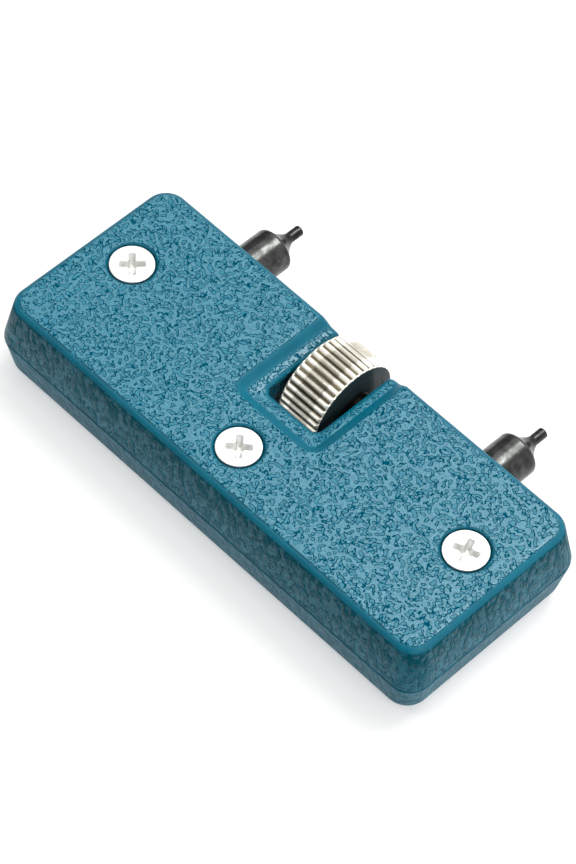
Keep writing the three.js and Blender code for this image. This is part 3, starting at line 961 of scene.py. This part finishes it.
def teal_plastic():
    """Satin plastic with a raised grain on its flat faces, smooth where its edges are rounded; painted
    shade in the grain's creases and on its steep walls, and painted sheen mixed into its tone.
    """
    paint = Paint("teal_plastic")
    upright = paint.facing(2)

    # Where the grain shows: fully on the faces, less on the sides, and least below the seam.
    on_face = paint.ramp(upright, 0.93, 0.99)
    on_side = paint.ramp(upright, 0.35, 0.1, 0.0, 0.6)
    above = paint.ramp(paint.part(2), (PARTING_Z - 0.2) * MM, (PARTING_Z + 0.2) * MM, 0.35, 1.0)
    shown = paint.times(paint.math("MAXIMUM", on_face, on_side), above)

    # The sides and other steep walls: ripples drawn out along Z, and painted shade that darkens them
    # towards the front face.
    skirt = paint.ramp(upright, 0.7, 0.22)
    ripple = paint.ramp(paint.noise(1250, 2.0, paint.stretched((1, 1, 0.55))), 0.4, 0.62)
    streaks = paint.times(paint.times(ripple, skirt), above)
    shade_by_height = paint.ramp(paint.part(2), PARTING_Z * MM, (THICKNESS - 1) * MM, 0.2, 0.65)
    darkness = paint.math("ADD", paint.times(ripple, 0.3), shade_by_height)
    shade = paint.times(darkness, skirt)

    # The grain: raised land among pits of uneven size, with a dark line of painted shade where they
    # meet.
    wander = paint.times(paint.noise(2000, 0.0), 1.2)
    pit = paint.ramp(paint.math("ADD", paint.cells(2000, 0.35), wander), 1.155, 0.905)
    level = paint.all_but(pit)
    brink = paint.ramp(paint.times(pit, level), 0.01, 0.15)
    crease_shade = paint.times(brink, shown)
    land = paint.times(level, shown)
    speckle = paint.noise(4500, 3.0)

    # Soft patches at random: partly the plastic's own uneven tone, partly painted sheen that varies
    # across the faces.
    tone_and_sheen_patches = paint.ramp(paint.noise(150, 3.0), 0.35, 0.65)
    slick = paint.mix(tone_and_sheen_patches, (0.0, 0.103, 0.162), (0.0, 0.122, 0.186))
    hollow = paint.mix(tone_and_sheen_patches, (0.0, 0.143, 0.219), (0.003, 0.165, 0.244))
    # The land lightens and greys with the speckle: partly its own tone, partly painted sheen and
    # glints.
    pale = paint.mix(paint.ramp(speckle, 0.42, 0.66), (0.001, 0.134, 0.206), (0.022, 0.208, 0.289))
    skin = paint.mix(land, paint.mix(shown, slick, hollow), pale)
    # The dark line where land and pits meet is painted shade.
    skin_with_creases = paint.mix(crease_shade, skin, (0.0, 0.07, 0.118))
    # Painted shade on the steep walls, laid over the grain's colour.
    colour = paint.mix(shade, skin_with_creases, (0.0, 0.062, 0.086))

    fine = paint.bump(speckle, 0.05, 0.8, paint.bump(land, 0.15))
    grain = paint.bump(streaks, 0.25, 1.0, fine)
    rough = paint.slide(land, 0.42, 0.36)
    bare = paint.all_but(paint.math("MAXIMUM", crease_shade, shade))
    land_sheen = paint.times(paint.slide(land, 0.48, 0.7), bare)
    sheen = paint.times(paint.slide(shown, 0.45, 1.0), land_sheen)
    return paint.finish(Base_Color=colour, Roughness=rough, Specular_IOR_Level=sheen, Normal=grain)


def zinc_plate():
    """White zinc on the shell screws: satin, with small dents, and greyer down in the cross, where
    shade is painted.
    """
    paint = Paint("zinc_plate", Metallic=0.6)
    patches = paint.ramp(paint.noise(1600, 3.0), 0.35, 0.7)
    bright = paint.mix(patches, (0.93, 0.93, 0.92), (0.84, 0.85, 0.84))
    # Painted shade: the colour greys with depth down in the cross.
    shallow = paint.ramp(paint.part(2), (THICKNESS - 0.9) * MM, (THICKNESS - 0.12) * MM)
    colour = paint.mix(shallow, (0.72, 0.73, 0.7), bright)
    rough = paint.slide(patches, 0.3, 0.42)
    dents = paint.bump(paint.noise(2600, 4.0), 0.012, 0.6)
    return paint.finish(Base_Color=colour, Roughness=rough, Normal=dents)


def nickel_plate():
    """Warm satin nickel: drawn lines along the ridges, painted shade between them, and side faces
    painted nearly black as shade, with a teal painted reflection.
    """
    paint = Paint("nickel_plate")
    off = paint.off_axis(AXIS_Y, AXIS_Z)
    deep = (WHEEL_RADIUS - RIDGE_DEPTH * 0.95) * MM
    crest = paint.ramp(off, deep, (WHEEL_RADIUS - RIDGE_DEPTH * 0.55) * MM)
    across = paint.math("ABSOLUTE", paint.math("SUBTRACT", paint.part(0), WHEEL_X * MM))
    at_end = paint.ramp(across, (WHEEL_WIDTH / 2 - 0.35) * MM, (WHEEL_WIDTH / 2 - 0.22) * MM)
    side_face = paint.ramp(across, (WHEEL_WIDTH / 2 - 0.12) * MM, (WHEEL_WIDTH / 2 - 0.07) * MM)
    lines = paint.noise(7000, 2.0, paint.stretched((0.04, 1, 1)))
    metal = paint.mix(paint.ramp(lines, 0.4, 0.62), (1.0, 0.97, 0.89), (0.9, 0.85, 0.72))
    # Painted shade in the valleys between the ridges, brown and streaked along the drawn lines.
    valley_shade = paint.mix(paint.ramp(lines, 0.35, 0.65), (0.045, 0.036, 0.016), (0.15, 0.12, 0.06))
    unshaded = paint.math("MAXIMUM", crest, at_end)
    # The side faces: painted shade, nearly black and darkest at the hub, tinted teal further out as a
    # painted reflection of the walls.
    hub = paint.ramp(off, (HUB_RADIUS + 0.05) * MM, (HUB_RADIUS + 0.3) * MM)
    face = paint.mix(hub, (0.01, 0.01, 0.008), (0.02, 0.035, 0.04))
    colour = paint.mix(side_face, paint.mix(unshaded, valley_shade, metal), face)
    satin = paint.slide(side_face, 0.4, 0.0)
    gloss = paint.slide(side_face, 0.8, 0.06)
    rough = paint.slide(side_face, 0.34, 0.2)
    drawn = paint.bump(paint.times(lines, paint.all_but(side_face)), 0.01, 0.4)
    return paint.finish(
        Base_Color=colour, Metallic=satin, Specular_IOR_Level=gloss, Roughness=rough, Normal=drawn
    )


def turned_steel():
    """Bright steel with turning marks, painted shade in the thread roots and on the washers."""
    paint = Paint("turned_steel", Metallic=1.0)
    off = paint.off_axis(AXIS_Y, AXIS_Z)
    crest = paint.ramp(off, (SCREW_RADIUS - 0.35) * MM, (SCREW_RADIUS - 0.05) * MM)
    marks = paint.noise(9000, 2.0, paint.stretched((1, 0.05, 0.05)))
    metal = paint.mix(paint.ramp(marks, 0.35, 0.65), (0.55, 0.54, 0.52), (0.38, 0.37, 0.36))
    washer = paint.ramp(off, (SEAT_RADIUS + 0.01) * MM, (SEAT_RADIUS + 0.05) * MM)
    # Painted shade: dark in the thread roots and the journals, nearly black on the washers.
    colour = paint.mix(crest, (0.09, 0.08, 0.065), paint.mix(washer, metal, (0.02, 0.02, 0.018)))
    rough = paint.ramp(marks, 0.3, 0.7, 0.22, 0.38)
    return paint.finish(Base_Color=colour, Roughness=rough, Normal=paint.bump(marks, 0.008, 0.5))


def turned_brass():
    """Turned brass that has dulled in patches."""
    paint = Paint("turned_brass", Metallic=1.0)
    tarnish = paint.ramp(paint.noise(700, 3.0), 0.4, 0.68)
    marks = paint.noise(8000, 2.0, paint.stretched((1, 0.1, 0.1)))
    colour = paint.mix(tarnish, (0.72, 0.5, 0.19), (0.36, 0.23, 0.08))
    rough = paint.slide(tarnish, 0.25, 0.45)
    return paint.finish(Base_Color=colour, Roughness=rough, Normal=paint.bump(marks, 0.008, 0.5))


def black_steel(name, hollows, rubbed_places):
    """Blackened steel rubbed grey: mottled, with handling scratches."""
    paint = Paint(name, Metallic=1.0)
    mottle = paint.ramp(paint.noise(900, 4.0), 0.35, 0.68)
    rubbed = paint.mix(mottle, hollows, rubbed_places)
    scratches = paint.ramp(paint.noise(5200, 2.0, paint.stretched((1, 0.18, 1)), 0.6), 0.63, 0.72)
    colour = paint.mix(paint.times(scratches, 0.3), rubbed, (0.25, 0.25, 0.24))
    rough = paint.slide(mottle, 0.26, 0.2)
    worn = paint.bump(paint.noise(6000, 3.0), 0.004, 0.4)
    return paint.finish(Base_Color=colour, Roughness=rough, Normal=worn)


make_camera()
make_floor()
make_sky()
make_lights()
steel = turned_steel()
brass = turned_brass()
make_shells(teal_plastic())
make_shell_screws(zinc_plate())
make_wheel(nickel_plate())
make_lead_screw(steel)
make_jaws(
    black_steel("jaw_steel", (0.045, 0.047, 0.045), (0.09, 0.093, 0.09)),
    black_steel("tip_steel", (0.025, 0.026, 0.025), (0.055, 0.057, 0.055)),
)
make_rings(steel, brass)
make_inserts(brass)
